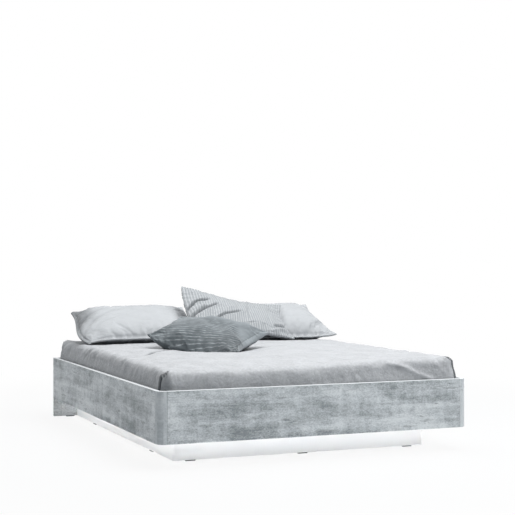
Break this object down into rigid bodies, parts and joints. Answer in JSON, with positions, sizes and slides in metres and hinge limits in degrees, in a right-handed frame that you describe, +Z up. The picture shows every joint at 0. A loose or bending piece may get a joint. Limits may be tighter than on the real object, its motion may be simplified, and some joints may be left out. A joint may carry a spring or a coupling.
{
  "type": "low double bed with plinth lighting",
  "caption": "Low double bed without a headboard: concrete-effect frame with rounded foot corners overhanging a recessed, softly lit white plinth, with mattress, sheet and loose pillows.",
  "frame": {"origin": "on the floor, under the middle of the bed's outline", "axes": "+Z up, +Y towards the head end, -Y towards the foot end, +X towards the right side seen from the foot"},
  "size_m": [1.65, 2.09, 0.7993],
  "materials": {
    "concrete_laminate": "matte",
    "white_laminate": "satin",
    "glide_plastic": "matte",
    "pine": "matte",
    "beam_steel": "satin",
    "zinc_steel": "satin",
    "channel_aluminium": "satin",
    "strip_board": "satin",
    "opal_diffuser": "satin",
    "driver_plastic": "matte",
    "gland_plastic": "matte",
    "mattress_ticking": "matte",
    "satin_sheet": "satin",
    "plain_cotton": "matte",
    "ribbed_cotton": "matte",
    "striped_weave": "matte"
  },
  "bodies": {
    "frame": {"foot_panel": "concrete_laminate", "side_rail_left": "concrete_laminate", "side_rail_right": "concrete_laminate", "corner_post_left": "concrete_laminate", "corner_post_right": "concrete_laminate", "head_panel": "concrete_laminate", "head_angle_left": "zinc_steel", "head_angle_right": "zinc_steel", "light_channel_left": "channel_aluminium", "light_strip_left": "strip_board", "light_diffuser_left": "opal_diffuser", "light_channel_right": "channel_aluminium", "light_strip_right": "strip_board", "light_diffuser_right": "opal_diffuser", "light_channel_foot": "channel_aluminium", "light_strip_foot": "strip_board", "light_diffuser_foot": "opal_diffuser", "plinth_front": "white_laminate", "plinth_left": "white_laminate", "plinth_right": "white_laminate", "plinth_stretcher": "white_laminate", "glide_front_left": "glide_plastic", "glide_front_middle": "glide_plastic", "glide_front_right": "glide_plastic", "glide_left_foot": "glide_plastic", "glide_left_head": "glide_plastic", "glide_right_foot": "glide_plastic", "glide_right_head": "glide_plastic", "glide_head_left": "glide_plastic", "glide_head_right": "glide_plastic", "light_driver": "driver_plastic", "cord_gland": "gland_plastic", "bearer_foot": "pine", "bearer_middle": "pine", "bearer_head": "pine", "ledger_left": "pine", "ledger_right": "pine", "centre_beam": "beam_steel", "beam_hanger_foot": "zinc_steel", "beam_hanger_head": "zinc_steel", "slat_01": "pine", "slat_02": "pine", "slat_03": "pine", "slat_04": "pine", "slat_05": "pine", "slat_06": "pine", "slat_07": "pine", "slat_08": "pine", "slat_09": "pine", "slat_10": "pine", "slat_11": "pine", "slat_12": "pine", "slat_13": "pine", "slat_14": "pine"},
    "mattress": {"mattress": "mattress_ticking", "sheet": "satin_sheet"},
    "pillow_left": {"pillow_left": "plain_cotton"},
    "pillow_right": {"pillow_right": "plain_cotton"},
    "pillow_ribbed": {"pillow_ribbed": "ribbed_cotton"},
    "pillow_striped": {"pillow_striped": "striped_weave"}
  },
  "joints": [
    {"name": "mattress_lift", "type": "slide", "parent": "frame", "child": "mattress", "axis": [0, 0, 1], "range_m": [0, 0.2]},
    {"name": "pillow_left_pull", "type": "slide", "parent": "mattress", "child": "pillow_left", "axis": [-0.97, 0, 0.2431], "range_m": [0, 0.95]},
    {"name": "pillow_right_lift", "type": "slide", "parent": "mattress", "child": "pillow_right", "axis": [0, 0, 1], "range_m": [0, 0.35]},
    {"name": "pillow_ribbed_lift", "type": "slide", "parent": "pillow_right", "child": "pillow_ribbed", "axis": [0, 0, 1], "range_m": [0, 0.35]},
    {"name": "pillow_striped_lift", "type": "slide", "parent": "mattress", "child": "pillow_striped", "axis": [0, 0, 1], "range_m": [0, 0.35]}
  ]
}
